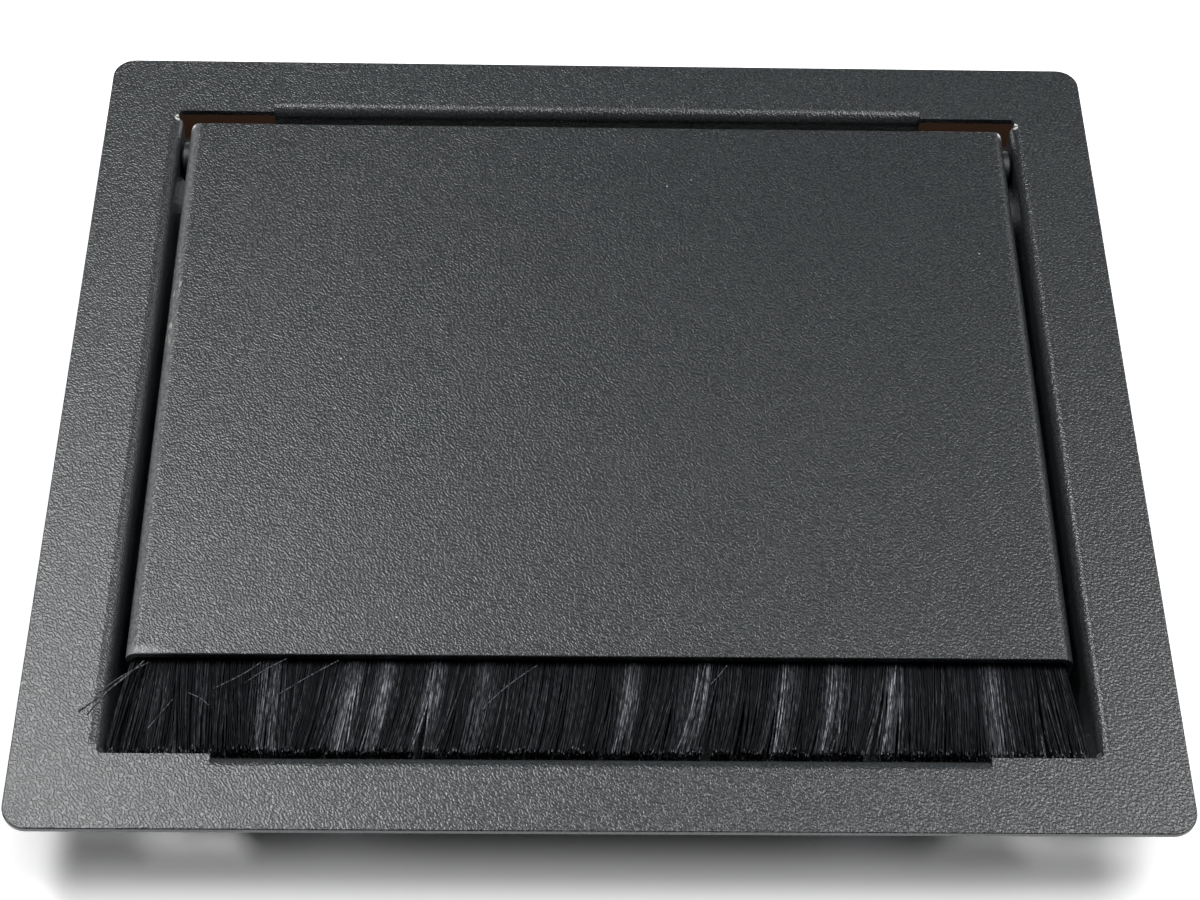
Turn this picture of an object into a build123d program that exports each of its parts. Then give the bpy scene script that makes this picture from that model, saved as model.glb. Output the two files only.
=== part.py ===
from build123d import *
import os

# A desk grommet: a pressed steel frame that drops into a cut-out in a desk, with a flip-up steel lid
# hinged at the back and a cable brush clamped under the lid's front edge.
# Millimetres. X runs along the hinge, -Y is the brush side, +Z is up out of the desk.
# The origin is the middle of the flange's underside, so Z = 0 is the desk's top surface.

# ---- Sheet metal, shared by the frame and the lid ----
SHEET = 1.0
BEND = 1.8                      # outer bend radius
FLANGE_TOP = SHEET
EDGE_ROUND = 0.2                # coated edges are never quite sharp

# ---- Frame ----
FLANGE_X = 160.0
FLANGE_Y = 140.0
FLANGE_CORNER = 3.5
OPENING_X = 135.6               # between the inner faces of the side legs
OPENING_Y = 117.5               # between the inner faces of the end legs
LEG_DEPTH = 16.0                # from the flange's top face down to the legs' tips
SIDE_LEG = 114.9                # length of each side leg along Y
END_LEG = 106.0                 # length of the front and back legs along X
LEG_CORNER = 2.0
RELIEF_REACH = 0.6              # the corner notches run this far past the side legs' inner faces
RELIEF_CORNER = 0.8

# ---- Lid ----
LID_TOP = 0.85                  # a hair lower than the flange's top face
LID_X = 132.7
LID_BACK = 56.2
LID_FRONT = -43.2
SKIRT_DEPTH = 9.0               # from the lid's top face down to the skirts' lower edges
LID_CORNER = 1.0                # back corners, seen from above
SKIRT_BACK_ROUND = 3.5
SKIRT_FRONT_ROUND = 2.0

# ---- Hinge ----
HINGE_Y = 52.0
HINGE_Z = -4.0
PIN_R = 1.5
PIN_SPIGOT_R = 1.25             # riveted through the leg
PIN_HEAD_R = 2.3
PIN_HEAD = 0.5
PIN_LENGTH = 4.6                # from the leg's inner face towards the middle
BUSH_R = 2.2
BUSH_FLANGE_R = 3.2
BUSH_FLANGE = 0.85
BUSH_PROUD = 0.1
RUNNING = 0.05                  # radial clearance of the pin in its bush, and side play
DISC_SPRING_R = 3.1
DISC_SPRING_SHEET = 0.25
WASHER_R = 3.2
WASHER = 0.5
CLIP_R = 2.8
CLIP = 0.5
GROOVE_R = 1.1
CLIP_MOUTH = 1.9

# ---- Lid stops ----
STOP_Y = -36.0
STOP_WIDTH = 8.0
STOP_REACH = 5.8                # how far each bracket stands in from its leg
STOP_TOP = -9.45
STOP_LOW = -14.4
STOP_BEND = 0.5                 # inner bend radius
BOOT_WALL = 1.25
BOOT_END = 1.0
BOOT_LEG_GAP = 1.6

# ---- Retaining springs ----
SPRING_X = 36.0
SPRING_WIDTH = 12.0
SPRING_SHEET = 0.5
SPRING_FOOT = -14.2
SPRING_KNEE = -9.6
SPRING_BULGE = 1.75             # how far the bowed part's middle line stands out from the leg
SPRING_BOW_LOW = -6.8
SPRING_BOW_HIGH = -5.6
SPRING_TIP = -2.9
SPRING_TIP_OUT = 0.55
SPRING_RADIUS = 1.2
RIVET_Z = -12.0
RIVET_R = 1.5
RIVET_HEAD_R = 2.4
RIVET_INNER_HEAD = 0.9
RIVET_OUTER_HEAD = 0.6

# ---- Brush and its clamp ----
CHANNEL_HALF = 64.3             # half length along X
CHANNEL_FRONT = -41.9
CHANNEL_BACK = -36.0
CHANNEL_HEIGHT = 3.8
CHANNEL_WALL = 0.6
CORE_R = 0.7
CORE_GAP = 0.02
CORE_BACK_GAP = 0.55            # bristles folded round the back of the core wire
BRISTLE_TIP_Y = -57.4
BRISTLE_TIP_HALF = 66.9
BRISTLE_TIP_TOP = -0.2          # this and the next from the lid's underside
BRISTLE_TIP_BOTTOM = -4.6
BRISTLE_SQUEEZE = 0.1           # the crimped mouth grips the tuft
RAIL_HALF = 58.0
RAIL_SHEET = 1.0
RAIL_LIP_FRONT = -41.0
RAIL_BACK = -25.0
RAIL_INNER_BEND = 0.4
STUD_XS = (-45.0, 0.0, 45.0)
STUD_Y = -30.0
STUD_R = 1.5
STUD_LENGTH = 5.5
STUD_HOLE_R = 1.7
NUT_FLATS = 5.5
NUT_HEIGHT = 2.4
STUD_WASHER_R = 3.5
STUD_WASHER = 0.5

# ---- Worked out from the above ----
SIDE_FACE = OPENING_X / 2                     # inner face of a side leg
END_FACE = OPENING_Y / 2                      # inner face of the front or back leg
LEG_TIP = FLANGE_TOP - LEG_DEPTH
SKIRT_OUT = LID_X / 2
SKIRT_IN = SKIRT_OUT - SHEET
SKIRT_LOW = LID_TOP - SKIRT_DEPTH
LID_UNDER = LID_TOP - SHEET                   # the brush and its clamp hang from here
LID_LENGTH = LID_BACK - LID_FRONT
BUSH_FACE = SKIRT_OUT + BUSH_FLANGE           # the bush's face towards the leg
WASHER_FACE = SKIRT_IN - BUSH_PROUD - RUNNING
CLIP_FACE = WASHER_FACE - WASHER - RUNNING


def block(x, y, z):
    """A box given by its lowest and highest values along each axis."""
    size = [high - low for low, high in (x, y, z)]
    middle = [(low + high) / 2 for low, high in (x, y, z)]
    return Pos(*middle) * Box(*size)


def panel(x, z):
    """A flat rectangle given the same way, for sections drawn in two directions."""
    middle = Pos((x[0] + x[1]) / 2, (z[0] + z[1]) / 2)
    return middle * Rectangle(x[1] - x[0], z[1] - z[0])


def quarter_bend(centre_x, centre_z, inner, outer, side_x, side_z):
    """The quarter ring of a bend, on the given side (-1 or 1 each way) of its centre."""
    ring = Circle(outer) - Circle(inner)
    corner = Pos(side_x * outer / 2, side_z * outer / 2) * Rectangle(outer, outer)
    return Pos(centre_x, centre_z) * (ring & corner)


def along_x(radius, start, end, y, z):
    """A round bar along X from start to end."""
    return Pos((start + end) / 2, y, z) * (Rot(0, 90, 0) * Cylinder(radius, abs(end - start)))


def turned_about_hinge(points):
    """A ring turned about the hinge axis from (x, radius) points."""
    section = make_face(Polyline(*points, close=True))
    ring = revolve(Plane.XZ * section, Axis.X, 360)
    return Pos(0, HINGE_Y, HINGE_Z) * ring


def both_sides(name, right):
    """The right-hand part and its mirror image, keyed by node name."""
    return {name + "_right": right, name + "_left": mirror(right, about=Plane.YZ)}


# ---------------------------------------------------------------- frame
def bent_leg(length):
    """A leg and its bend, running along Y, with its inner face on X = 0 and the flange towards +X."""
    section = quarter_bend(BEND, FLANGE_TOP - BEND, BEND - SHEET, BEND, -1, 1)
    section += panel((0, SHEET), (LEG_TIP, FLANGE_TOP - BEND))
    leg = extrude(Plane.XZ * section, length / 2, both=True)
    tips = leg.edges().filter_by(Axis.X).group_by(Axis.Z)[0]
    return fillet(tips, LEG_CORNER)


def make_frame():
    """The flange and its four legs, pressed from one sheet."""
    notch_x = OPENING_X + 2 * RELIEF_REACH
    hole = RectangleRounded(notch_x, OPENING_Y, RELIEF_CORNER)
    hole += Rectangle(OPENING_X + 2 * BEND, SIDE_LEG)
    hole += Rectangle(END_LEG, OPENING_Y + 2 * BEND)
    flange = extrude(RectangleRounded(FLANGE_X, FLANGE_Y, FLANGE_CORNER), SHEET)
    flange = fillet(flange.edges().group_by(Axis.Z)[-1] + flange.edges().group_by(Axis.Z)[0], EDGE_ROUND)
    frame = flange - extrude(hole, SHEET)
    for turn, reach, length in ((0, SIDE_FACE, SIDE_LEG), (90, END_FACE, END_LEG)):
        for half_turn in (0, 180):
            frame += Rot(0, 0, turn + half_turn) * Pos(reach, 0, 0) * bent_leg(length)

    pin_hole = along_x(PIN_SPIGOT_R, SIDE_FACE - 1, SIDE_FACE + SHEET + 1, HINGE_Y, HINGE_Z)
    frame -= pin_hole
    frame -= mirror(pin_hole, about=Plane.YZ)
    for x in (-SPRING_X, SPRING_X):
        frame -= Pos(x, 0, RIVET_Z) * (Rot(90, 0, 0) * Cylinder(RIVET_R, FLANGE_Y))
    return frame


# ---------------------------------------------------------------- lid
def make_lid():
    """The lid: a flat top with a skirt bent down along each side, cut off plain at front and back."""
    flat = LID_X / 2 - BEND
    section = panel((-flat, flat), (LID_UNDER, LID_TOP))
    for side in (-1, 1):
        section += quarter_bend(side * flat, LID_TOP - BEND, BEND - SHEET, BEND, side, 1)
        section += panel(sorted((side * SKIRT_IN, side * SKIRT_OUT)), (SKIRT_LOW, LID_TOP - BEND))
    lid = Pos(0, (LID_FRONT + LID_BACK) / 2, 0) * extrude(Plane.XZ * section, LID_LENGTH / 2, both=True)

    plan = block((-SKIRT_OUT, SKIRT_OUT), (LID_FRONT, LID_BACK), (SKIRT_LOW, LID_TOP))
    plan = fillet(plan.edges().filter_by(Axis.Z).group_by(Axis.Y)[-1], LID_CORNER)
    lid &= plan
    side_view = block((-SKIRT_OUT, SKIRT_OUT), (LID_FRONT, LID_BACK), (SKIRT_LOW, LID_TOP))
    low = side_view.edges().filter_by(Axis.X).group_by(Axis.Z)[0].sort_by(Axis.Y)
    side_view = fillet(low[-1:], SKIRT_BACK_ROUND)
    low = side_view.edges().filter_by(Axis.X).group_by(Axis.Z)[0].sort_by(Axis.Y)
    side_view = fillet(low[:1], SKIRT_FRONT_ROUND)
    high = side_view.edges().filter_by(Axis.X).group_by(Axis.Z)[-1]
    side_view = fillet(high, EDGE_ROUND)
    lid &= side_view
    return lid - along_x(BUSH_R, -SKIRT_OUT - 1, SKIRT_OUT + 1, HINGE_Y, HINGE_Z)


# ---------------------------------------------------------------- hinge
def make_hinge_pin():
    """A shouldered pin, riveted through the leg, with a groove for its retaining clip."""
    leg_out = SIDE_FACE + SHEET
    pin = along_x(PIN_R, SIDE_FACE - PIN_LENGTH, SIDE_FACE, HINGE_Y, HINGE_Z)
    tip = pin.edges().group_by(Axis.X)[0]
    pin = chamfer(tip, 0.3)
    pin += along_x(PIN_SPIGOT_R, SIDE_FACE, leg_out, HINGE_Y, HINGE_Z)
    head = along_x(PIN_HEAD_R, leg_out, leg_out + PIN_HEAD, HINGE_Y, HINGE_Z)
    pin += fillet(head.edges().group_by(Axis.X)[-1], PIN_HEAD * 0.6)
    groove = along_x(PIN_R + 1, CLIP_FACE - CLIP, CLIP_FACE, HINGE_Y, HINGE_Z)
    groove -= along_x(GROOVE_R, CLIP_FACE - CLIP, CLIP_FACE, HINGE_Y, HINGE_Z)
    return pin - groove


def make_disc_spring():
    """A shallow cone of spring steel between the leg and the bush, which gives the lid its drag."""
    inner_r = PIN_R + RUNNING
    low = BUSH_FACE + RUNNING
    return turned_about_hinge([(SIDE_FACE - DISC_SPRING_SHEET, inner_r), (SIDE_FACE, inner_r),
                               (low + DISC_SPRING_SHEET, DISC_SPRING_R), (low, DISC_SPRING_R)])


def make_hinge_bush():
    """A top-hat bush in the lid's skirt, with its flange towards the leg."""
    bore = PIN_R + RUNNING
    end = SKIRT_IN - BUSH_PROUD
    return turned_about_hinge([(end, bore), (BUSH_FACE, bore), (BUSH_FACE, BUSH_FLANGE_R),
                               (SKIRT_OUT, BUSH_FLANGE_R), (SKIRT_OUT, BUSH_R), (end, BUSH_R)])


def make_hinge_washer():
    """A plain washer between the bush and the retaining clip."""
    bore = PIN_R + RUNNING
    inner = WASHER_FACE - WASHER
    return turned_about_hinge([(inner, bore), (WASHER_FACE, bore), (WASHER_FACE, WASHER_R), (inner, WASHER_R)])


def make_retaining_clip():
    """An open clip pushed into the pin's groove from below."""
    clip = along_x(CLIP_R, CLIP_FACE - CLIP, CLIP_FACE, HINGE_Y, HINGE_Z)
    clip -= along_x(GROOVE_R, CLIP_FACE - CLIP, CLIP_FACE, HINGE_Y, HINGE_Z)
    span = (CLIP_FACE - CLIP, CLIP_FACE)
    clip -= block(span, (HINGE_Y - CLIP_MOUTH / 2, HINGE_Y + CLIP_MOUTH / 2), (HINGE_Z - CLIP_R, HINGE_Z))
    relief_r = 0.55
    for side in (-1, 1):
        relief = along_x(relief_r, *span, HINGE_Y + side * GROOVE_R, HINGE_Z + GROOVE_R * 0.55)
        clip -= relief
    return clip


# ---------------------------------------------------------------- stops
def make_stop_bracket():
    """The angle welded inside the right leg, whose upper leaf the lid comes to rest on."""
    outer = STOP_BEND + SHEET
    bend_x = SIDE_FACE - outer
    bend_z = STOP_TOP - outer
    section = quarter_bend(bend_x, bend_z, STOP_BEND, outer, 1, 1)
    section += panel((SIDE_FACE - STOP_REACH, bend_x), (STOP_TOP - SHEET, STOP_TOP))
    section += panel((SIDE_FACE - SHEET, SIDE_FACE), (STOP_LOW, bend_z))
    return Pos(0, STOP_Y, 0) * extrude(Plane.XZ * section, STOP_WIDTH / 2, both=True)


def make_stop_boot():
    """A rubber boot pushed over the bracket's upper leaf."""
    leaf_end = SIDE_FACE - STOP_REACH
    half = STOP_WIDTH / 2
    boot = block((leaf_end - BOOT_END, SIDE_FACE - BOOT_LEG_GAP),
                 (STOP_Y - half - BOOT_WALL, STOP_Y + half + BOOT_WALL),
                 (STOP_TOP - SHEET - BOOT_WALL, STOP_TOP + BOOT_WALL))
    boot = fillet(boot.edges().filter_by(Axis.X) + boot.edges().filter_by(Axis.Y).group_by(Axis.X)[0], 0.5)
    pocket = block((leaf_end, SIDE_FACE), (STOP_Y - half, STOP_Y + half), (STOP_TOP - SHEET, STOP_TOP))
    return boot - pocket


# ---------------------------------------------------------------- retaining springs
def make_retaining_spring():
    """A bowed leaf on the front leg's outer face: flat foot, bulge, and a free tip tucked back in."""
    half = SPRING_SHEET / 2
    line = FilletPolyline((half, SPRING_FOOT), (half, SPRING_KNEE), (SPRING_BULGE, SPRING_BOW_LOW),
                          (SPRING_BULGE, SPRING_BOW_HIGH), (SPRING_TIP_OUT, SPRING_TIP), radius=SPRING_RADIUS)
    leaf = extrude(Plane.YZ * trace(line, SPRING_SHEET), SPRING_WIDTH / 2, both=True)
    leaf -= Pos(0, 0, RIVET_Z) * (Rot(90, 0, 0) * Cylinder(RIVET_R, 4))
    return leaf


def make_spring_rivets():
    """Four rivets, one through each spring's foot."""
    leg_out = END_FACE + SHEET
    outside = leg_out + SPRING_SHEET
    shank = Cylinder(RIVET_R, outside - END_FACE, align=(Align.CENTER, Align.CENTER, Align.MIN))
    inner = Cylinder(RIVET_HEAD_R, RIVET_INNER_HEAD, align=(Align.CENTER, Align.CENTER, Align.MAX))
    inner = fillet(inner.edges().group_by(Axis.Z)[0], RIVET_INNER_HEAD * 0.7)
    outer = Pos(0, 0, outside - END_FACE) * Cylinder(RIVET_HEAD_R, RIVET_OUTER_HEAD,
                                                     align=(Align.CENTER, Align.CENTER, Align.MIN))
    outer = fillet(outer.edges().group_by(Axis.Z)[-1], RIVET_OUTER_HEAD * 0.6)
    rivet = shank + inner + outer
    group = []
    for x in (-SPRING_X, SPRING_X):
        for turn in (0, 180):
            group.append(Rot(0, 0, turn) * Pos(x, END_FACE, RIVET_Z) * (Rot(-90, 0, 0) * rivet))
    return Compound(children=group)


# ---------------------------------------------------------------- brush
# The shapes in this section are drawn with the lid's underside at Z = 0.
def make_brush_channel():
    """The folded strip that holds the bristles: a channel lying on its side, open to the front."""
    channel = block((-CHANNEL_HALF, CHANNEL_HALF), (CHANNEL_FRONT, CHANNEL_BACK), (-CHANNEL_HEIGHT, 0))
    channel = fillet(channel.edges().filter_by(Axis.X).group_by(Axis.Y)[-1], CHANNEL_WALL * 1.5)
    inside = block((-CHANNEL_HALF, CHANNEL_HALF), (CHANNEL_FRONT, CHANNEL_BACK - CHANNEL_WALL),
                   (CHANNEL_WALL - CHANNEL_HEIGHT, -CHANNEL_WALL))
    inside = fillet(inside.edges().filter_by(Axis.X).group_by(Axis.Y)[-1], CHANNEL_WALL)
    return channel - inside


def core_wire(radius):
    """A bar along the core wire's line."""
    y = CHANNEL_BACK - CHANNEL_WALL - CORE_BACK_GAP - CORE_R
    return along_x(radius, -CHANNEL_HALF, CHANNEL_HALF, y, -CHANNEL_HEIGHT / 2)


def make_bristles():
    """The bristles as one block: gripped in the channel, folded round the wire, then fanned out to the tips."""
    top = -CHANNEL_WALL - BRISTLE_SQUEEZE
    bottom = CHANNEL_WALL + BRISTLE_SQUEEZE - CHANNEL_HEIGHT
    root = block((-CHANNEL_HALF, CHANNEL_HALF),
                 (CHANNEL_FRONT, CHANNEL_BACK - 2 * CHANNEL_WALL), (bottom, top))

    def section(y, half, low, high):
        """An upright rectangle across the brush at the given Y."""
        return Plane.XZ.offset(-y) * panel((-half, half), (low, high))

    fan = loft([section(CHANNEL_FRONT, CHANNEL_HALF, bottom, top),
                section(BRISTLE_TIP_Y, BRISTLE_TIP_HALF, BRISTLE_TIP_BOTTOM, BRISTLE_TIP_TOP)])
    return root + fan - core_wire(CORE_R + CORE_GAP)


def make_brush_rail():
    """The Z-section rail that clamps the channel up against the lid."""
    web_front, web_back = CHANNEL_BACK, CHANNEL_BACK + RAIL_SHEET
    low = -CHANNEL_HEIGHT - RAIL_SHEET
    inner, outer = RAIL_INNER_BEND, RAIL_INNER_BEND + RAIL_SHEET
    section = panel((web_back + inner, RAIL_BACK), (-RAIL_SHEET, 0))
    section += quarter_bend(web_back + inner, -outer, inner, outer, -1, 1)
    section += panel((web_front, web_back), (-CHANNEL_HEIGHT + inner, -outer))
    section += quarter_bend(web_front - inner, -CHANNEL_HEIGHT + inner, inner, outer, 1, -1)
    section += panel((RAIL_LIP_FRONT, web_front - inner), (low, -CHANNEL_HEIGHT))
    rail = extrude(Plane.YZ * section, RAIL_HALF, both=True)
    for x in STUD_XS:
        rail -= Pos(x, STUD_Y, 0) * Cylinder(STUD_HOLE_R, 10)
    return rail


def make_stud():
    """A threaded stud, welded to the lid's underside."""
    stud = Cylinder(STUD_R, STUD_LENGTH, align=(Align.CENTER, Align.CENTER, Align.MAX))
    return chamfer(stud.edges().group_by(Axis.Z)[0], 0.3)


def make_stud_washer():
    """The plain washer under a rail nut."""
    washer = Cylinder(STUD_WASHER_R, STUD_WASHER, align=(Align.CENTER, Align.CENTER, Align.MAX))
    return washer - Cylinder(STUD_R + RUNNING, 4 * STUD_WASHER)


def make_nut():
    """A hexagon nut."""
    hexagon = RegularPolygon(NUT_FLATS / 2, 6, major_radius=False)
    return extrude(hexagon - Circle(STUD_R), -NUT_HEIGHT)


def at_studs(fastener, drop):
    """One separate copy of a fastener at each stud, its top face this far below the lid's underside."""
    return Compound(children=[Pos(x, STUD_Y, LID_UNDER - drop) * fastener for x in STUD_XS])


# ---------------------------------------------------------------- assembly
def make_parts():
    """Every node of the grommet, keyed by name."""
    parts = {"frame": make_frame(), "lid": make_lid()}
    parts.update(both_sides("hinge_pin", make_hinge_pin()))
    parts.update(both_sides("disc_spring", make_disc_spring()))
    parts.update(both_sides("hinge_bush", make_hinge_bush()))
    parts.update(both_sides("hinge_washer", make_hinge_washer()))
    parts.update(both_sides("retaining_clip", make_retaining_clip()))
    parts.update(both_sides("stop_bracket", make_stop_bracket()))
    parts.update(both_sides("stop_boot", make_stop_boot()))
    for end, turn, side in (("front", 180, 1), ("back", 0, -1)):
        for hand, x in (("left", -SPRING_X), ("right", SPRING_X)):
            place = Rot(0, 0, turn) * Pos(-side * x, END_FACE + SHEET, 0)
            parts["retaining_spring_" + end + "_" + hand] = place * make_retaining_spring()
    parts["spring_rivets"] = make_spring_rivets()
    under_lid = {
        "brush_channel": make_brush_channel(),
        "brush_core_wire": core_wire(CORE_R),
        "bristles": make_bristles(),
        "brush_rail": make_brush_rail(),
    }
    for name, shape in under_lid.items():
        parts[name] = Pos(0, 0, LID_UNDER) * shape
    parts["rail_studs"] = at_studs(make_stud(), 0)
    parts["rail_washers"] = at_studs(make_stud_washer(), RAIL_SHEET)
    parts["rail_nuts"] = at_studs(make_nut(), RAIL_SHEET + STUD_WASHER)
    return parts


os.makedirs("parts", exist_ok=True)
for node, shape in make_parts().items():
    shape.label = node
    export_step(shape, "parts/" + node + ".step")
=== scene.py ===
import logging
import math
from dataclasses import dataclass, field
from enum import Enum

import bpy
import numpy as np
from mathutils import Matrix, Vector


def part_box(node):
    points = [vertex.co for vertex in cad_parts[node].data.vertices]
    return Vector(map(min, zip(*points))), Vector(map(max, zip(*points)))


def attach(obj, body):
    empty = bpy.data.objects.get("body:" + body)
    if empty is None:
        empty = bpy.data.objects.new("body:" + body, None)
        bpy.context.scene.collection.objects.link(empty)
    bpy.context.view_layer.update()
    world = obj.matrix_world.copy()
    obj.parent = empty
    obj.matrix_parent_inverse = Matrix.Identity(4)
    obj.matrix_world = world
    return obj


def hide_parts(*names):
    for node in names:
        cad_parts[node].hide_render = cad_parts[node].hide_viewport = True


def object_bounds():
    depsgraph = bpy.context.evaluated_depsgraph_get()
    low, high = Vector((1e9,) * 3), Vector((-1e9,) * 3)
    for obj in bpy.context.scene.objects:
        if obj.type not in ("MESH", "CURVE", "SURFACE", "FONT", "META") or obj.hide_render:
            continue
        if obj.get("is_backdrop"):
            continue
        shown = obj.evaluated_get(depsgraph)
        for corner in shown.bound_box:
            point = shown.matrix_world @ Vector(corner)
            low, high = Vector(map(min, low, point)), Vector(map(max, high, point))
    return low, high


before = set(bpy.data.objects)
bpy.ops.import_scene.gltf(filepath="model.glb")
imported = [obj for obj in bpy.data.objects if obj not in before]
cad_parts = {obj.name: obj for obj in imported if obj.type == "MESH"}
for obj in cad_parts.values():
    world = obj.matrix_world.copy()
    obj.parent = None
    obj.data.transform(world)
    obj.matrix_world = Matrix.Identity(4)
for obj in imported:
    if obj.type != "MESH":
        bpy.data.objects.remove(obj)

LOG = logging.getLogger("desk_grommet")
MM = 0.001
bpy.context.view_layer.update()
SIDES = ("left", "right")

Colour = tuple[float, float, float, float]
Triple = tuple[float, float, float]


# ------------------------------------------------------------------ shader building
class Signal:
    """A shader socket that Python arithmetic can be done on, each step adding a Math node."""

    def __init__(self, graph: "Graph", socket: bpy.types.NodeSocket) -> None:
        """Wraps a socket.

        Args:
            graph: the graph that the socket's node belongs to.
            socket: the output socket.
        """
        self.graph = graph
        self.socket = socket

    def _math(self, operation: str, *values: "Signal | float") -> "Signal":
        """One Math node.

        Args:
            operation: the node's operation.
            values: its inputs, in order.

        Returns:
            The node's output.
        """
        inputs = dict(enumerate(values))
        return self.graph.add("ShaderNodeMath", {"operation": operation}, inputs)

    def __add__(self, other: "Signal | float") -> "Signal":
        """self + other."""
        return self._math("ADD", self, other)

    def __radd__(self, other: float) -> "Signal":
        """other + self."""
        return self._math("ADD", other, self)

    def __sub__(self, other: "Signal | float") -> "Signal":
        """self - other."""
        return self._math("SUBTRACT", self, other)

    def __rsub__(self, other: float) -> "Signal":
        """other - self."""
        return self._math("SUBTRACT", other, self)

    def __mul__(self, other: "Signal | float") -> "Signal":
        """self * other."""
        return self._math("MULTIPLY", self, other)

    def __rmul__(self, other: float) -> "Signal":
        """other * self."""
        return self._math("MULTIPLY", other, self)

    def __truediv__(self, other: "Signal | float") -> "Signal":
        """self / other."""
        return self._math("DIVIDE", self, other)

    def __abs__(self) -> "Signal":
        """The signal without its sign."""
        return self._math("ABSOLUTE", self)

    def rise(self, start: float, end: float) -> "Signal":
        """A smooth step.

        Args:
            start: where the result is 0.
            end: where the result is 1; it may be lower than start.

        Returns:
            The step, between 0 and 1.
        """
        settings = {"interpolation_type": "SMOOTHSTEP", "clamp": True}
        inputs = {"Value": self, "From Min": min(start, end), "From Max": max(start, end)}
        step = self.graph.add("ShaderNodeMapRange", settings, inputs)
        return step if start < end else 1 - step


class Graph:
    """One material's node tree and the one way that nodes are added to it."""

    def __init__(self, name: str) -> None:
        """Starts a material with a Principled shader.

        Args:
            name: the material's name.
        """
        self.material = bpy.data.materials.new(name)
        self.material.use_nodes = True
        self.nodes = self.material.node_tree.nodes
        self.links = self.material.node_tree.links
        self.shader = self.nodes["Principled BSDF"]

    def add(self, kind: str, settings: dict | None = None, inputs: dict | None = None,
            output: str | int = 0) -> Signal:
        """Adds one node.

        Args:
            kind: the node's type.
            settings: the node's own properties.
            inputs: values or signals for its sockets, by name or number.
            output: which output is wanted.

        Returns:
            That output.
        """
        node = self.nodes.new(kind)
        for key, value in (settings or {}).items():
            setattr(node, key, value)
        for key, value in (inputs or {}).items():
            self.feed(node.inputs[key], value)
        return Signal(self, node.outputs[output])

    def feed(self, socket: bpy.types.NodeSocket, value: "Signal | float | tuple") -> None:
        """Links a signal to a socket, or sets the socket's own value.

        Args:
            socket: the input socket.
            value: what it gets.
        """
        if isinstance(value, Signal):
            self.links.new(value.socket, socket)
        else:
            socket.default_value = value

    def surface(self, **values: "Signal | float | tuple") -> bpy.types.Material:
        """Sets the shader's sockets.

        Args:
            values: socket names, with underscores for spaces, and what they get.

        Returns:
            The finished material.
        """
        for name, value in values.items():
            self.feed(self.shader.inputs[name.replace("_", " ")], value)
        return self.material

    def place(self) -> Signal:
        """The point being shaded, in the object's own metres."""
        return self.add("ShaderNodeTexCoord", output="Object")

    def axis(self, point: Signal, name: str) -> Signal:
        """One coordinate of a point, in millimetres."""
        return self.add("ShaderNodeSeparateXYZ", None, {0: point}, name) / MM

    def noise(self, point: Signal, size_mm: float, detail: float = 2.0, roughness: float = 0.5,
              distortion: float = 0.0) -> Signal:
        """Soft noise with an average of 0.5.

        Args:
            point: where it is read.
            size_mm: the size of its features, in millimetres.
            detail: how many finer layers it has.
            roughness: how strong the finer layers are.
            distortion: how far it is swirled.

        Returns:
            The noise.
        """
        inputs = {"Vector": point, "Scale": 1 / (size_mm * MM), "Detail": detail,
                  "Roughness": roughness, "Distortion": distortion}
        return self.add("ShaderNodeTexNoise", None, inputs)

    def cells(self, point: Signal, size_mm: float, output: str = "Distance") -> Signal:
        """The distance to the middle of the nearest cell of a given size, or the cell's own colour."""
        inputs = {"Vector": point, "Scale": 1 / (size_mm * MM)}
        return self.add("ShaderNodeTexVoronoi", None, inputs, output)

    def stretch(self, point: Signal, scale: Triple = (1.0, 1.0, 1.0),
                turn: Triple = (0.0, 0.0, 0.0)) -> Signal:
        """The point scaled per axis, for streaks, and then turned, in radians."""
        inputs = {"Vector": point, "Scale": scale, "Rotation": turn}
        return self.add("ShaderNodeMapping", None, inputs)

    def mix(self, factor: "Signal | float", first: "Signal | tuple", second: "Signal | tuple") -> Signal:
        """A colour between two colours, by the Mix node's numbered colour sockets."""
        return self.add("ShaderNodeMix", {"data_type": "RGBA"}, {0: factor, 6: first, 7: second}, 2)

    def bump(self, height_mm: Signal) -> Signal:
        """A surface normal from a height in millimetres."""
        inputs = {"Height": height_mm * MM, "Strength": 1.0, "Distance": 1.0}
        return self.add("ShaderNodeBump", None, inputs, "Normal")

    def spot(self, point: Signal, centre_mm: Triple, radius_mm: float) -> Signal:
        """A ball round a point.

        Args:
            point: where it is read.
            centre_mm: the ball's middle, in millimetres.
            radius_mm: its radius.

        Returns:
            1 near the middle, fading to 0 at the radius.
        """
        full = 0.4
        centre = tuple(value * MM for value in centre_mm)
        ends = {0: point, 1: centre}
        distance = self.add("ShaderNodeVectorMath", {"operation": "DISTANCE"}, ends, "Value")
        return (distance / MM).rise(radius_mm, radius_mm * full)


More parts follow.
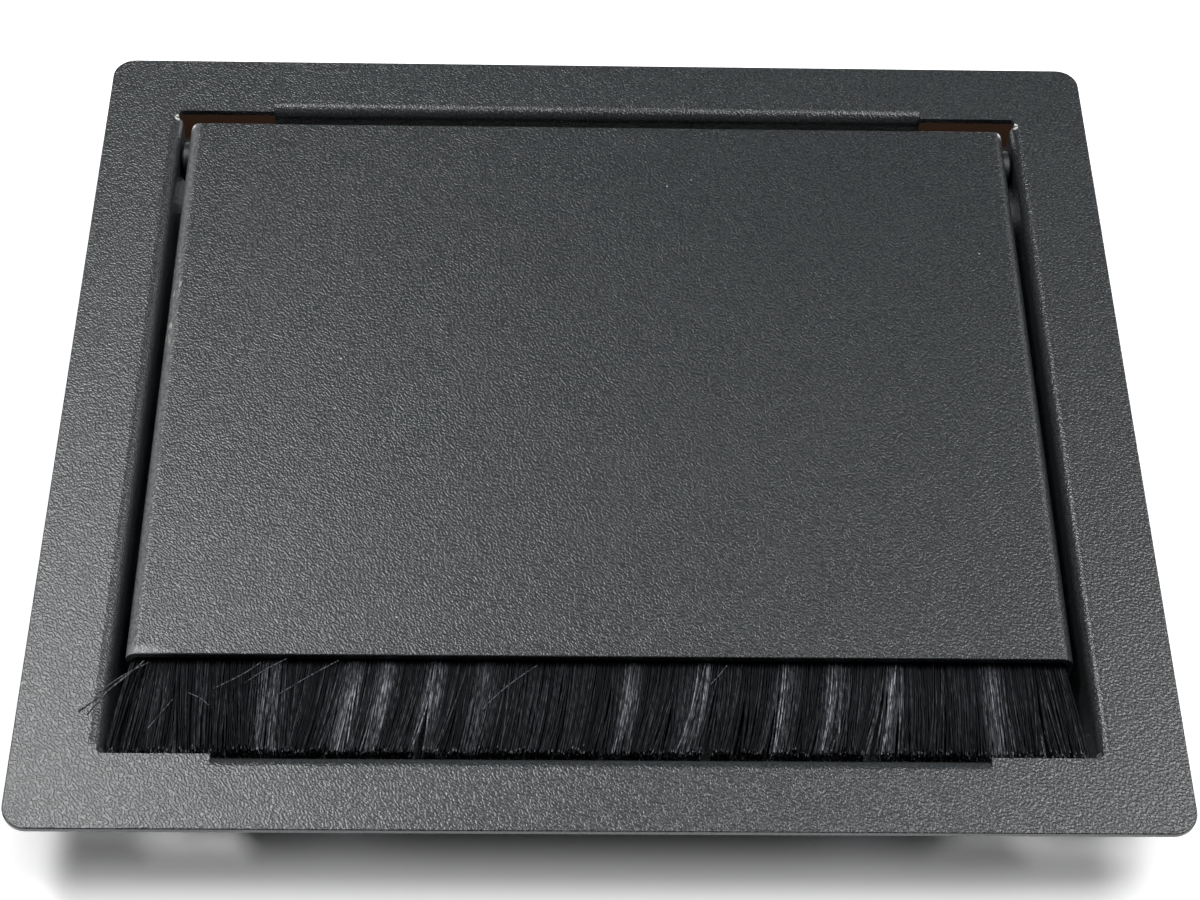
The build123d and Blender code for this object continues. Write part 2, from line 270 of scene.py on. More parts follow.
# ------------------------------------------------------------------ finishes
@dataclass(frozen=True)
class LidWearAndHighlight:
    """The marks on the lid's coat: a painted highlight along the left bend, rubbed patches along it and a
    faint scratch.
    """

    bend_start_x: float = -64.3
    bend_end_x: float = -65.5
    bend_low_z: float = -1.6
    bend_high_z: float = -0.5
    front_y: tuple[float, float] = (-41.4, -42.7)
    front_x: tuple[float, float] = (-58.5, -65.0)
    rubbed_x: tuple[float, float] = (-63.6, -65.6)
    rubbed_strength: float = 0.7
    scratch_x: float = -30.5
    scratch_y: float = -1.5
    scratch_slope: float = 0.05
    scratch_bow: float = 0.008
    scratch_half_width: float = 0.16
    scratch_strength: float = 0.34

    def painted_bend_highlight(self, graph: Graph, point: Signal) -> Signal:
        """Painted highlight: the coat painted paler along the left bend, most of all at its front end.

        Args:
            graph: the material being built.
            point: where it is read.

        Returns:
            How strong the painted highlight is, 0 where there is none.
        """
        x, y, z = (graph.axis(point, name) for name in "XYZ")
        patchy = graph.noise(point, 0.6, 3.0, 0.7).rise(0.25, 0.7)
        bend = x.rise(self.bend_start_x, self.bend_end_x) * (0.35 + patchy * 0.60)
        corner = x.rise(*self.front_x) * y.rise(*self.front_y) * 0.75
        return (bend + corner) * z.rise(self.bend_low_z, self.bend_high_z)

    def scuffs(self, graph: Graph, point: Signal) -> Signal:
        """Rubbed coat along the left side and one faint curved scratch.

        Args:
            graph: the material being built.
            point: where it is read.

        Returns:
            How bare the coat is, 0 where it is whole.
        """
        x, y = graph.axis(point, "X"), graph.axis(point, "Y")
        ragged = graph.noise(graph.stretch(point, (1.0, 0.35, 1.0)), 0.7, 3.0, 0.7)
        along = y.rise(0.0, 14.0) * y.rise(38.0, 20.0)
        edge = x.rise(*self.rubbed_x) * ragged.rise(0.50, 0.70) * along * self.rubbed_strength
        bow = (y - self.scratch_y) * (y - self.scratch_y) * self.scratch_bow
        line = abs(x - self.scratch_x - y * self.scratch_slope - bow).rise(self.scratch_half_width, 0.03)
        length = y.rise(-7.5, -5.0) * y.rise(5.0, 2.0)
        scratch = line * length * ragged.rise(0.25, 0.6) * self.scratch_strength
        return edge + scratch


@dataclass(frozen=True)
class PowderCoat:
    """Coarse textured charcoal powder coat on sheet steel."""

    colour: Colour = (0.0155, 0.0178, 0.0194, 1)
    # pale: the paler colour painted on the grain's raised pebbles, a painted highlight
    pale: Colour = (0.036, 0.0395, 0.0425, 1)
    bare: Colour = (0.55, 0.55, 0.54, 1)
    # the colour of the painted highlight along the lid's left bend
    painted_highlight_colour: Colour = (0.20, 0.205, 0.21, 1)
    sheen: float = 0.5
    roughness: float = 0.265
    grain_mm: float = 0.285
    grain_height_mm: float = 0.037
    grain_turn: float = math.radians(45)
    grain_stretch: Triple = (0.74, 1.1, 1.0)
    # the noise is read off a slanting plane, so that its own grid never lines up with the sheet
    grain_tilt: Triple = (0.6, 0.45, 0.3)
    cloud_mm: float = 22.0
    dust_pitch_mm: float = 5.5
    worn_radius_mm: float = 0.7

    def material(self, name: str, worn_points: tuple[Triple, ...],
                 wear_and_highlight: LidWearAndHighlight | None = None) -> bpy.types.Material:
        """Builds the coat.

        Args:
            name: the material's name.
            worn_points: where the coat is rubbed through to bright steel, in millimetres.
            wear_and_highlight: the lid's marks and its painted bend highlight, where it has them.

        Returns:
            The material.
        """
        graph = Graph(name)
        point = graph.place()
        pebbles, fine = self._grain(graph, point)
        height = (pebbles.rise(0.30, 0.70) * 0.85 + fine * 0.20) * self.grain_height_mm
        clouds = graph.noise(point, self.cloud_mm, 3.0, 0.55)
        # painted highlight: the raised pebbles of the grain are painted paler, over a faint random cloudy
        # tone
        tone_with_painted_light = clouds * 0.12 + pebbles.rise(0.36, 0.68) * 0.80
        colour = graph.mix(tone_with_painted_light, self.colour, self.pale)
        colour = graph.mix(self._dust(graph, point), colour, self.bare)
        worn = sum(graph.spot(point, centre, self.worn_radius_mm) for centre in worn_points)
        if wear_and_highlight:
            # painted highlight along the lid's left bend and at its front end
            colour = graph.mix(wear_and_highlight.painted_bend_highlight(graph, point), colour, self.painted_highlight_colour)
            worn = worn + wear_and_highlight.scuffs(graph, point)
        colour = graph.mix(worn.rise(0.0, 1.0), colour, self.bare)
        return graph.surface(Base_Color=colour, Roughness=self.roughness + fine * 0.04,
                             Normal=graph.bump(height), Specular_IOR_Level=self.sheen)

    def _grain(self, graph: Graph, point: Signal) -> tuple[Signal, Signal]:
        """The coat's grain, drawn out along one diagonal.

        Args:
            graph: the material being built.
            point: where it is read.

        Returns:
            The grain, and the finer grain on it.
        """
        along = graph.stretch(point, turn=(0.0, 0.0, self.grain_turn))
        tilted = graph.stretch(along, self.grain_stretch, self.grain_tilt)
        pebbles = graph.noise(tilted, self.grain_mm, 0.3, 0.45, 0.05)
        return pebbles, graph.noise(tilted, self.grain_mm * 0.3)

    def _dust(self, graph: Graph, point: Signal) -> Signal:
        """Sparse pale specks: some cells of a coarse grid hold one small dot each.

        Args:
            graph: the material being built.
            point: where it is read.

        Returns:
            How much dust covers the coat.
        """
        distance = graph.cells(point, self.dust_pitch_mm)
        lottery = graph.cells(point, self.dust_pitch_mm, "Color")
        drawn = graph.add("ShaderNodeSeparateColor", None, {0: lottery}, "Red")
        return distance.rise(0.034, 0.016) * drawn.rise(0.55, 0.65) * 0.75


@dataclass(frozen=True)
class Metal:
    """A bare or plated metal, with faint rolling or turning marks."""

    colour: Colour
    roughness: float
    streak_mm: float = 0.25
    streak_turn: float = 0.0
    mottle: float = 0.25
    mottle_mm: float = 3.5
    stain: Colour = (0.30, 0.30, 0.29, 1)

    def material(self, name: str) -> bpy.types.Material:
        """Builds the metal.

        Args:
            name: the material's name.

        Returns:
            The material.
        """
        graph = Graph(name)
        point = graph.place()
        drawn_out = graph.stretch(point, (0.08, 1.0, 1.0), (0.0, 0.0, self.streak_turn))
        streaks = graph.noise(drawn_out, self.streak_mm, 3.0, 0.6)
        mottle = graph.noise(point, self.mottle_mm, 4.0, 0.6)
        colour = graph.mix(mottle.rise(0.45, 0.8) * self.mottle, self.colour, self.stain)
        rough = self.roughness + streaks * 0.14 + mottle * 0.10
        height = streaks * 0.004 + mottle * 0.006
        return graph.surface(Base_Color=colour, Metallic=1.0, Roughness=rough, Normal=graph.bump(height))


@dataclass(frozen=True)
class MouldedBlack:
    """Black rubber or nylon with a moulded skin."""

    colour: Colour
    roughness: float
    grain_mm: float
    grain_height_mm: float
    bloom_mm: float = 2.2

    def material(self, name: str) -> bpy.types.Material:
        """Builds the plastic or rubber.

        Args:
            name: the material's name.

        Returns:
            The material.
        """
        graph = Graph(name)
        point = graph.place()
        grain = graph.noise(point, self.grain_mm, 3.0, 0.6)
        bloom = graph.noise(point, self.bloom_mm, 3.0, 0.6).rise(0.5, 0.85)
        dusty = tuple(value * 2.6 + 0.01 for value in self.colour[:3]) + (1,)
        colour = graph.mix(bloom * 0.5, self.colour, dusty)
        rough = self.roughness + grain * 0.12
        height = grain * self.grain_height_mm
        return graph.surface(Base_Color=colour, Roughness=rough, Normal=graph.bump(height))


@dataclass(frozen=True)
class Filament:
    """Black crimped nylon filament, with painted highlights and shade: how far each bristle is painted
    towards the lit grey is read from a point attribute.
    """

    dark: Colour = (0.0015, 0.0020, 0.0032, 1)
    # the lit grey that the painted highlights mix towards
    light: Colour = (0.34, 0.355, 0.39, 1)
    roughness: float = 0.50
    gloss: float = 0.07
    fleck_mm: float = 0.30

    def material(self, name: str) -> bpy.types.Material:
        """Builds the filament.

        Args:
            name: the material's name.

        Returns:
            The material.
        """
        graph = Graph(name)
        tone_with_painted_light = graph.add("ShaderNodeAttribute", {"attribute_name": "tone_with_painted_light"}, None, "Fac")
        point = graph.place()
        fleck = graph.noise(graph.stretch(point, (1.0, 0.22, 1.0)), self.fleck_mm).rise(0.40, 0.62)
        # painted highlight and shade: the point attribute, broken up by random flecks, mixes the dark
        # nylon towards the lit grey
        colour = graph.mix(tone_with_painted_light * (0.25 + fleck * 0.95), self.dark, self.light)
        rough = self.roughness + fleck * 0.15
        return graph.surface(Base_Color=colour, Roughness=rough, Specular_IOR_Level=self.gloss)


class Finish(Enum):
    """The finishes on the grommet, by the record's material slots."""

    ZINC = "zinc_plate"
    WIRE = "steel_wire"
    PIN = "pin_steel"
    BLACK_SPRING = "black_spring_steel"
    SPRING = "spring_steel"
    RIVET = "rivet_aluminium"
    BUSH = "bush_nylon"
    BOOT = "boot_rubber"

    def material(self) -> bpy.types.Material:
        """The finish's material, made once and shared."""
        known = bpy.data.materials.get(self.name.lower())
        return known or FINISHES[self].material(self.name.lower())


FINISHES: dict[Finish, Metal | MouldedBlack] = {
    Finish.ZINC: Metal((0.66, 0.67, 0.68, 1), 0.26, 0.30, 0.0, 0.5),
    Finish.WIRE: Metal((0.52, 0.52, 0.52, 1), 0.30),
    Finish.PIN: Metal(
        (0.014, 0.014, 0.015, 1), 0.50, 0.12, math.pi / 2, 0.3, stain=(0.015, 0.015, 0.015, 1)),
    Finish.BLACK_SPRING: Metal(
        (0.010, 0.010, 0.011, 1), 0.55, 0.2, 0.0, 0.3, stain=(0.010, 0.010, 0.010, 1)),
    Finish.SPRING: Metal(
        (0.34, 0.35, 0.38, 1), 0.22, 0.18, math.pi / 2, 0.35, stain=(0.16, 0.14, 0.13, 1)),
    Finish.RIVET: Metal((0.78, 0.78, 0.79, 1), 0.30, 0.25, 0.0, 0.2),
    Finish.BUSH: MouldedBlack((0.006, 0.006, 0.007, 1), 0.45, 0.3, 0.01),
    Finish.BOOT: MouldedBlack((0.013, 0.013, 0.014, 1), 0.62, 0.18, 0.02),
}


def dress(node: str, material: bpy.types.Material) -> None:
    """Gives a CAD node its material.

    Args:
        node: the node's name.
        material: what its slots get.
    """
    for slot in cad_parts[node].material_slots:
        slot.material = material


# ------------------------------------------------------------------ sub-assemblies
@dataclass
class PressedFrame:
    """The flange and its four legs, and the brackets welded to them."""

    coat: PowderCoat = field(default_factory=PowderCoat)
    nodes: tuple[str, ...] = ("frame", "stop_bracket_left", "stop_bracket_right")

    def build(self) -> None:
        """Coats the pressing and brackets, with bare dots where the side bends meet the back notches."""
        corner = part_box("lid")[1] / MM
        bare = tuple((side * (corner.x + 2.15), corner.y + 1.2, 0.8) for side in (-1, 1))
        material = self.coat.material("frame_powder_coat", bare)
        for node in self.nodes:
            dress(node, material)


@dataclass
class FlipLid:
    """The lid, whose coat is a darker copy of the frame's, a painted shade, and a little duller."""

    # the frame's coat painted darker for the lid, a painted shade; its lower sheen makes it duller
    coat: PowderCoat = field(default_factory=lambda: PowderCoat(
        colour=(0.0140, 0.0162, 0.0178, 1), pale=(0.0325, 0.0360, 0.0388, 1), sheen=0.44))
    wear_and_highlight: LidWearAndHighlight = field(default_factory=LidWearAndHighlight)

    def build(self) -> None:
        """Coats the lid, with its worn back corners, its rubbed left edge with a painted highlight along
        the bend, and its scratch.
        """
        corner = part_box("lid")[1] / MM
        bare = tuple((side * (corner.x - 0.4), corner.y - 0.4, corner.z - 0.3) for side in (-1, 1))
        dress("lid", self.coat.material("lid_powder_coat", bare, self.wear_and_highlight))


@dataclass
class Hinge:
    """One of the lid's two hinges: a riveted pin, its bush, a disc spring, a washer and a clip."""

    side: str
    steel: tuple[str, ...] = ("hinge_pin", "hinge_washer")
    springs: tuple[str, ...] = ("disc_spring", "retaining_clip")

    def build(self) -> None:
        """Dresses the parts on this side."""
        for part in self.steel:
            dress(f"{part}_{self.side}", Finish.PIN.material())
        for part in self.springs:
            dress(f"{part}_{self.side}", Finish.BLACK_SPRING.material())
        dress(f"hinge_bush_{self.side}", Finish.BUSH.material())


@dataclass
class LidStop:
    """One of the rubber boots that the closed lid rests on."""

    side: str

    def build(self) -> None:
        """Dresses the boot."""
        dress(f"stop_boot_{self.side}", Finish.BOOT.material())


@dataclass
class RetainingSprings:
    """The four bowed leaves that grip the cut-out, and their rivets."""

    places: tuple[str, ...] = ("front_left", "front_right", "back_left", "back_right")

    def build(self) -> None:
        """Dresses the leaves and the rivets."""
        for place in self.places:
            dress(f"retaining_spring_{place}", Finish.SPRING.material())
        dress("spring_rivets", Finish.RIVET.material())


@dataclass
class BrushClamp:
    """The folded channel round the bristles, and the rail, studs and nuts that hold it under the lid."""

    plated: tuple[str, ...] = ("brush_rail", "brush_channel", "rail_studs", "rail_washers", "rail_nuts")

    def build(self) -> None:
        """Dresses the clamp's metal."""
        for node in self.plated:
            dress(node, Finish.ZINC.material())
        dress("brush_core_wire", Finish.WIRE.material())


@dataclass
class CableBrush:
    """The bristles: thousands of separate filaments in tufts that lean and fan out."""

    filament_mm: float = 0.23
    stray_mm: float = 0.16
    # how pale the stray hairs are painted, a painted highlight
    stray_painted_highlight: float = 0.30
    rows: int = 11
    columns: int = 640
    rings: int = 8
    pieces: int = 4
    seed: int = 11
    gripped_mm: float = 2.2
    held_mm: float = 1.2
    trim_mm: float = 0.35
    tuft_pitch_mm: float = 2.1
    bright_width_mm: float = 1.1
    # filaments whose roots are further out than this fan out from their roots on
    straight_half: float = 61.5
    # how far the tips lean along X at points along the brush, both in millimetres
    lean_at: tuple[tuple[float, float], ...] = (
        (-64.3, -3.6), (-62.6, -2.4), (-60.5, -0.4), (-54, 1.2), (-46, 0.0), (-38, -2.0), (-10, -2.4),
        (20, -2.8), (40, -2.2), (50, -0.6), (57, 0.3), (61, 1.2), (64.3, 2.4))
    # the middles of the tufts that get a painted highlight
    bright_at: tuple[float, ...] = (
        -45.7, -34.0, -29.5, -22.7, -15.6, 4.5, 14.5, 26.5, 33.1, 41.0, 54.5)
    # where each stray hair starts and ends
    strays: tuple[tuple[Triple, Triple], ...] = (
        ((-63.6, -44.0, 0.2), (-71.4, -52.4, 1.15)), ((-63.9, -44.6, 0.3), (-70.2, -52.9, 1.15)),
        ((-62.8, -44.2, 0.2), (-69.0, -49.6, 1.1)), ((-47.4, -44.2, 0.3), (-53.6, -48.4, 0.35)),
        ((-43.8, -43.6, 0.4), (-49.4, -47.6, 0.4)), ((-36.6, -43.8, 0.3), (-44.4, -49.2, 0.4)),
        ((-59.0, -50.0, 0.2), (-62.2, -55.0, 0.3)), ((-9.0, -44.4, 0.3), (-17.0, -52.2, 0.4)),
        ((17.5, -44.2, 0.4), (15.0, -47.4, 0.4)), ((-57.0, -49.0, 0.3), (-54.0, -51.0, 0.4)))

    def build(self) -> list[bpy.types.Object]:
        """Builds the filaments as several meshes, side by side, and the stray hairs.

        Returns:
            The pieces.
        """
        rng = np.random.default_rng(self.seed)
        roots, depth = self._roots(rng)
        tips = self._tips(roots, depth, rng)
        lift, tone_with_painted_light = self._shades(roots[:, 0], rng)
        order = np.argsort(roots[:, 0])
        made = []
        for number, share in enumerate(np.array_split(order, self.pieces)):
            name = f"bristles_{number + 1}"
            made.append(self._weave(name, roots[share], tips[share], lift[share], tone_with_painted_light[share], rng))
        return made + [self._strays(rng)]

    def _roots(self, rng: np.random.Generator) -> tuple[np.ndarray, np.ndarray]:
        """Lays the filaments' roots out in rows inside the channel.

        Args:
            rng: the random source.

        Returns:
            The roots in millimetres, and how deep each lies in the brush, from 0 on top to 1.
        """
        low, high = (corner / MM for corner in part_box("brush_channel"))
        count = self.rows * self.columns
        column = np.tile(np.arange(self.columns), self.rows)
        row = np.repeat(np.arange(self.rows), self.columns)
        x = (column + rng.uniform(0.1, 0.9, count)) / self.columns * 2 * high.x - high.x
        depth = (row + rng.uniform(0.2, 0.8, count)) / self.rows
        z = (low.z + high.z) / 2 + (0.5 - depth) * self.gripped_mm
        return np.stack([x, np.full(count, low.y + self.held_mm), z], 1), depth

    def _tips(self, roots: np.ndarray, depth: np.ndarray, rng: np.random.Generator) -> np.ndarray:
        """Places the filaments' tips: they lean, and gather into tufts.

        Args:
            roots: where each filament starts, in millimetres.
            depth: how deep each lies in the brush, from 0 on top to 1.
            rng: the random source.

        Returns:
            The tips in millimetres.
        """
        low, high = (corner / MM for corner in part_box("bristles"))
        count = len(roots)
        root_x = roots[:, 0]
        span = (high.z - low.z - 0.2) * 0.86
        z = (low.z + high.z) / 2 + (0.5 - depth) * span + rng.normal(0, 0.16, count)
        lean = np.interp(root_x, *np.array(self.lean_at).T)
        tuft = np.floor((root_x + rng.normal(0, 0.35, count)) / self.tuft_pitch_mm).astype(int)
        index = tuft - tuft.min()
        tufts = index.max() + 1
        pull = rng.uniform(0.25, 0.6, tufts)[index]
        tuft_lean = rng.normal(0, 0.45, tufts)[index]
        tuft_lift = rng.normal(0, 0.22, tufts)[index]
        centre = (tuft + 0.5) * self.tuft_pitch_mm
        x = root_x + lean + tuft_lean + (centre - root_x) * pull + rng.normal(0, 0.42, count)
        x = np.clip(x, low.x - 0.5, high.x + 0.5)
        z = np.clip(z + tuft_lift, low.z + 0.1, high.z + 0.05)
        y = low.y + 0.05 + np.abs(rng.normal(0, self.trim_mm, count)) + (depth - 0.2) * 0.25
        return np.stack([x, y, z], 1)

    def _shades(self, root_x: np.ndarray, rng: np.random.Generator) -> tuple[np.ndarray, np.ndarray]:
        """Chooses each filament's bow and its painted highlight.

        Args:
            root_x: where each filament starts along X, in millimetres.
            rng: the random source.

        Returns:
            How far each bows upwards, in millimetres, and how strong its painted highlight is, from 0 to
            1.
        """
        count = len(root_x)
        # painted highlights: whole tufts and random single filaments are painted paler
        bright = sum(np.exp(-((root_x - x) / self.bright_width_mm) ** 2) for x in self.bright_at)
        glint = rng.uniform(0, 1, count) ** 2.5
        tone_with_painted_light = np.clip(0.016 + 0.13 * glint + bright * (0.15 + 0.78 * glint), 0, 1)
        return rng.normal(0, 0.22, count) + 0.5 * bright, tone_with_painted_light

    def _weave(self, name: str, roots: np.ndarray, tips: np.ndarray, lift: np.ndarray, tone_with_painted_light: np.ndarray,
               rng: np.random.Generator) -> bpy.types.Object:
        """Makes one mesh of filaments.

        Args:
            name: the piece's name.
            roots: where each filament starts, in millimetres.
            tips: where each ends.
            lift: how far each bows upwards halfway.
            tone_with_painted_light: each one's painted highlight.
            rng: the random source.

        Returns:
            The piece.
        """
        count = len(roots)
        t = np.append(np.linspace(0, 0.975, self.rings - 1), 1.0)[None, :, None]
        at_ends = np.clip((np.abs(roots[:, 0]) - self.straight_half) / 2.0, 0, 1)[:, None, None]
        fan = t ** (1.55 - 1.0 * at_ends)
        reach = (tips - roots)[:, None, :]
        lines = roots[:, None, :] + reach * np.array([1, 0, 1])[None, None, :] * fan
        lines[:, :, 1:2] = roots[:, None, 1:2] + reach[:, :, 1:2] * t
        crimp = rng.uniform(0, 2 * math.pi, (count, 1, 1))
        waves = np.sin(crimp + t * rng.uniform(5, 9, (count, 1, 1))) * 0.09
        lines[:, :, 0:1] += waves * t
        lines[:, :, 2:3] += np.sin(math.pi * t) * lift[:, None, None] * 0.5 + waves * t
        # painted shade and highlight along each filament: dark at the root under the lid, brightest
        # halfway, a little dimmer at the tip
        shown = np.interp(t[0, :, 0], (0, 0.15, 0.45, 0.8, 1), (0.15, 0.35, 1, 0.75, 0.6))
        tones_with_painted_light = tone_with_painted_light[:, None] * shown[None, :]
        # painted highlight on some of the cut tips
        tones_with_painted_light[:, -1] += (rng.uniform(0, 1, count) < 0.35) * rng.uniform(0.2, 0.7, count)
        return self._tubes(name, lines, np.clip(tones_with_painted_light, 0, 1), self.filament_mm)

    def _tubes(self, name: str, lines: np.ndarray, tone_with_painted_light: np.ndarray,
               thickness_mm: float) -> bpy.types.Object:
        """Thickens centre lines into four-sided filaments with closed tips.

        Args:
            name: the piece's name.
            lines: the centre lines, count by rings by 3, in millimetres.
            tone_with_painted_light: the painted highlight and shade along each filament, count by rings.
            thickness_mm: each filament's thickness.

        Returns:
            The piece.
        """
        count, rings = lines.shape[:2]
        along = np.gradient(lines, axis=1)
        along /= np.linalg.norm(along, axis=2, keepdims=True)
        side = np.cross(along, [0.0, 0.0, 1.0])
        side /= np.linalg.norm(side, axis=2, keepdims=True)
        up = np.cross(side, along)
        radius = thickness_mm / 2
        corners = []
        for quarter in range(4):
            angle = math.pi / 4 + quarter * math.pi / 2
            corners.append(lines + radius * (math.cos(angle) * side + math.sin(angle) * up))
        points = np.stack(corners, 2).reshape(-1, 3) * MM
        base = (np.arange(count) * rings * 4)[:, None, None]
        ring = (np.arange(rings - 1) * 4)[None, :, None]
        quarter = np.arange(4)[None, None, :]
        following = (quarter + 1) % 4
        sides = np.stack([base + ring + quarter, base + ring + quarter + 4,
                          base + ring + following + 4, base + ring + following], -1).reshape(-1, 4)
        start = np.arange(count)[:, None] * rings * 4
        tip_faces = start + (rings - 1) * 4 + np.array([0, 3, 2, 1])[None, :]
        root_faces = start + np.array([1, 2, 3, 0])[None, :]
        faces = np.concatenate([sides, tip_faces, root_faces])
        mesh = bpy.data.meshes.new(name)
        mesh.vertices.add(len(points))
        mesh.vertices.foreach_set("co", points.astype(np.float32).ravel())
        mesh.loops.add(faces.size)
        mesh.loops.foreach_set("vertex_index", faces.astype(np.int32).ravel())
        mesh.polygons.add(len(faces))
        mesh.polygons.foreach_set("loop_start", np.arange(0, faces.size, 4, dtype=np.int32))
        mesh.update(calc_edges=True)
        # the painted highlight and shade, stored per point
        shade = mesh.attributes.new("tone_with_painted_light", "FLOAT", "POINT")
        shade.data.foreach_set("value", np.repeat(tone_with_painted_light.ravel(), 4).astype(np.float32))
        mesh.polygons.foreach_set("use_smooth", np.ones(len(faces), bool))
        piece = bpy.data.objects.new(name, mesh)
        bpy.context.scene.collection.objects.link(piece)
        return piece

    def _strays(self, rng: np.random.Generator) -> bpy.types.Object:
        """Lays the few long hairs that cross the others and the flange.

        Args:
            rng: the random source.

        Returns:
            The piece.
        """
        starts, ends = (np.array([hair[end] for hair in self.strays]) for end in (0, 1))
        t = np.linspace(0, 1, self.rings)[None, :, None]
        lines = starts[:, None] + (ends - starts)[:, None] * t
        arch = np.sin(math.pi * t[:, :, 0])
        lines[:, :, 0] += arch * rng.normal(0, 0.35, (len(self.strays), 1))
        lines[:, :, 2] += arch * 0.15
        # an even painted highlight along each stray hair
        tone_with_painted_light = np.full(lines.shape[:2], self.stray_painted_highlight)
        return self._tubes("bristles_stray", lines, tone_with_painted_light, self.stray_mm)


@dataclass(frozen=True)
class SoftBox:
    """A square area light that faces the grommet."""

    name: str
    place: Triple
    width: float
    power: float

    def hang(self) -> None:
        """Adds the light, turned towards the origin."""
        data = bpy.data.lights.new(self.name, "AREA")
        data.shape = "SQUARE"
        data.size = self.width
        data.energy = self.power
        lamp = bpy.data.objects.new(self.name, data)
        lamp.location = self.place
        lamp.rotation_euler = (-Vector(self.place)).to_track_quat("-Z", "Y").to_euler()
        bpy.context.scene.collection.objects.link(lamp)


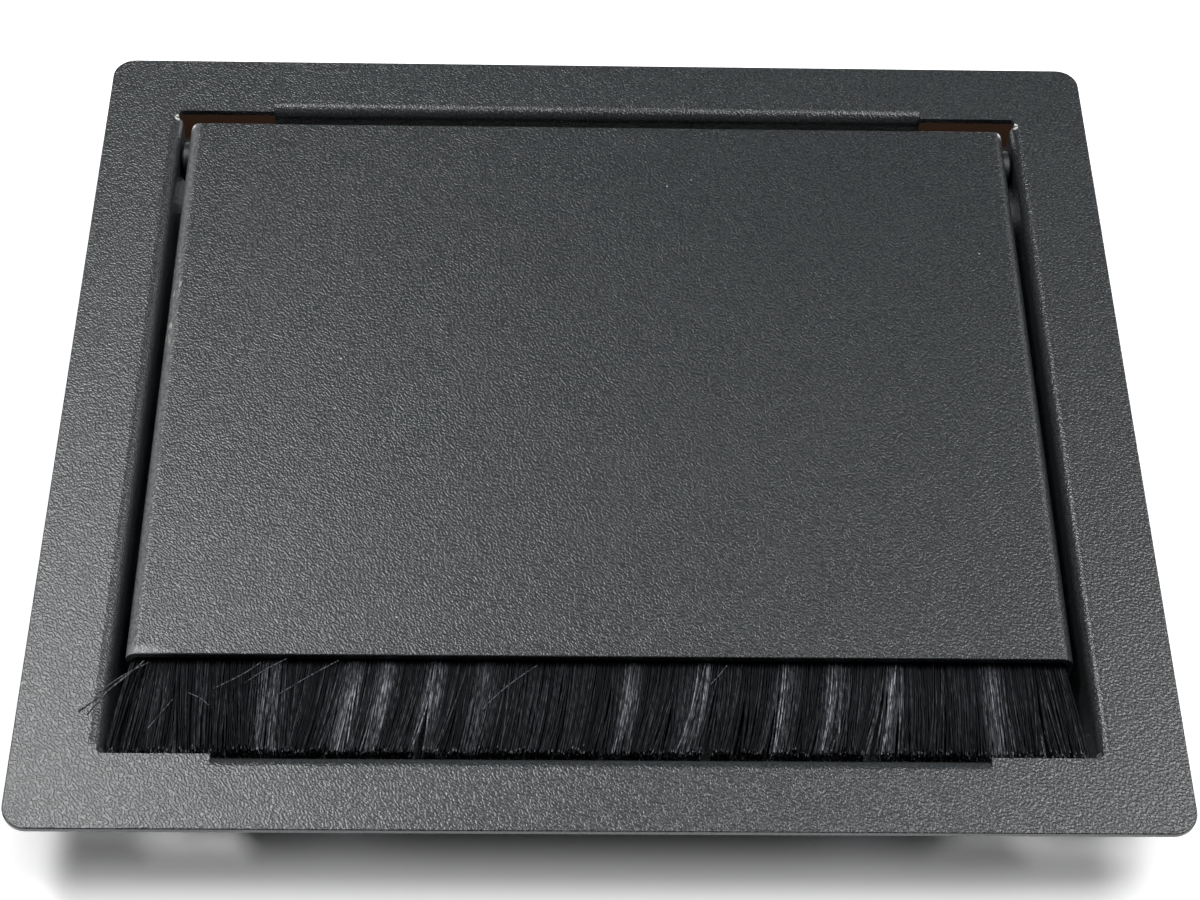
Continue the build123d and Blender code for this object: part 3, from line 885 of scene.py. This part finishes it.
@dataclass
class Studio:
    """A pale floor, soft lights and the camera."""

    lens_mm: float = 71.178
    sensor_mm: float = 36.0
    elevation: float = math.radians(55.06)
    azimuth: float = math.radians(-2.142)
    roll: float = math.radians(2.237)
    distance_mm: float = 350.6
    aim_mm: Triple = (-0.04, -8.19, 1.0)
    floor_size: float = 6.0
    floor_gap_mm: float = 0.05
    floor_colour: Colour = (0.90, 0.90, 0.90, 1)
    # the colour of the painted brown shadow on the floor behind the grommet
    painted_shadow_colour: Colour = (0.017, 0.0088, 0.0055, 1)
    floor_glow: float = 0.55
    surround: float = 0.03
    horizon: float = 0.85
    horizon_height: float = 0.01
    ceiling_height: float = 0.12
    softboxes: tuple[SoftBox, ...] = (
        SoftBox("left_softbox", (-0.370, 0.340, 0.928), 0.30, 7.6),
        SoftBox("right_softbox", (0.560, 0.183, 1.126), 0.60, 14.0),
        SoftBox("right_strip", (0.78, 0.56, 0.42), 0.30, 0.9))

    def build(self) -> None:
        """Adds the floor, the lights, the surround and the camera."""
        bpy.context.scene.view_settings.view_transform = "Standard"
        self._floor()
        self._surround()
        for box in self.softboxes:
            box.hang()
        self._camera()

    def _floor(self) -> None:
        """A wide pale floor just under the legs."""
        low, high = (Vector(corner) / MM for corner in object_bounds())
        below = (0, 0, (low.z - self.floor_gap_mm) * MM)
        bpy.ops.object.select_all(action="DESELECT")
        bpy.ops.mesh.primitive_plane_add(size=self.floor_size, location=below)
        floor = bpy.context.object
        floor.name = "studio_floor"
        floor.data.materials.append(self._ground(low, high))
        floor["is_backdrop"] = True

    def _ground(self, low: Vector, high: Vector) -> bpy.types.Material:
        """Makes the floor's material: pale and glowing a little, with the glow left out under the grommet
        as painted shade, and a painted brown shadow behind its back corners, seen through its notches.

        Args:
            low: the grommet's lowest corner, in millimetres.
            high: its highest corner.

        Returns:
            The material.
        """
        graph = Graph("studio_floor")
        point = graph.place()
        x, y = graph.axis(point, "X"), graph.axis(point, "Y")
        inside = abs(x).rise(high.x + 6, high.x - 8)
        across = inside * abs(x).rise(high.x - 50, high.x - 34)
        # painted brown shadow on the floor behind the grommet's back corners
        painted_shadow_behind = across * y.rise(high.y - 16, high.y - 2) * y.rise(high.y + 13, high.y + 5)
        near = graph.mix(painted_shadow_behind, self.floor_colour, self.painted_shadow_colour)
        # painted shade: the floor's glow is left out under the grommet, so the floor is dark there
        under = inside * y.rise(low.y - 6, low.y + 8) * y.rise(high.y + 10, high.y + 5)
        reach = graph.add("ShaderNodeVectorMath", {"operation": "LENGTH"}, {0: point}, "Value")
        far = reach.rise(0.25, 0.8)
        black, dim, glow = ((grey, grey, grey, 1) for grey in (0, self.floor_glow, self.horizon))
        lit = graph.mix(under, graph.mix(far, dim, glow), black)
        return graph.surface(Base_Color=graph.mix(far, near, black), Emission_Color=lit,
                             Emission_Strength=1.0, Roughness=0.9, Specular_IOR_Level=0.0)

    def _surround(self) -> None:
        """Pale walls low down all round, and a dim ceiling."""
        world = bpy.data.worlds.new("studio")
        bpy.context.scene.world = world
        world.use_nodes = True
        nodes, links = world.node_tree.nodes, world.node_tree.links
        place = nodes.new("ShaderNodeTexCoord")
        height = nodes.new("ShaderNodeSeparateXYZ")
        ramp = nodes.new("ShaderNodeValToRGB")
        ramp.color_ramp.interpolation = "EASE"
        stops = ((self.horizon_height, self.horizon), (self.ceiling_height, self.surround))
        for element, (position, grey) in zip(ramp.color_ramp.elements, stops):
            element.position = position
            element.color = (grey, grey, grey, 1)
        links.new(place.outputs["Generated"], height.inputs[0])
        links.new(height.outputs["Z"], ramp.inputs[0])
        links.new(ramp.outputs[0], nodes["Background"].inputs["Color"])

    def _camera(self) -> None:
        """The camera, placed by its angles round the point it aims at."""
        flat = math.cos(self.elevation)
        across, away = math.sin(self.azimuth) * flat, -math.cos(self.azimuth) * flat
        back = Vector((across, away, math.sin(self.elevation)))
        right = Vector((0, 0, 1)).cross(back).normalized()
        up = back.cross(right)
        turned_right = right * math.cos(self.roll) + up * math.sin(self.roll)
        turned_up = up * math.cos(self.roll) - right * math.sin(self.roll)
        data = bpy.data.cameras.new("camera")
        data.sensor_width = self.sensor_mm
        data.lens = self.lens_mm
        data.clip_start = 0.01
        camera = bpy.data.objects.new("camera", data)
        axes = Matrix((turned_right, turned_up, back)).transposed().to_4x4()
        place = (Vector(self.aim_mm) + back * self.distance_mm) * MM
        camera.matrix_world = Matrix.Translation(place) @ axes
        bpy.context.scene.collection.objects.link(camera)
        bpy.context.scene.camera = camera


def main() -> None:
    """Builds every sub-assembly in order."""
    logging.basicConfig(level=logging.INFO, format="%(name)s: %(message)s")
    Studio().build()
    LOG.info("studio is set")
    PressedFrame().build()
    LOG.info("frame is coated")
    FlipLid().build()
    LOG.info("lid is coated")
    for side in SIDES:
        Hinge(side).build()
        LidStop(side).build()
    LOG.info("hinges and stops are dressed")
    RetainingSprings().build()
    BrushClamp().build()
    LOG.info("springs and brush clamp are dressed")
    filament = Filament().material("bristle_filament")
    for piece in CableBrush().build():
        piece.data.materials.append(filament)
        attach(piece, "lid_body")
        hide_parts("bristles")
        LOG.info("%s has %d faces", piece.name, len(piece.data.polygons))


if __name__ == "__main__":
    main()
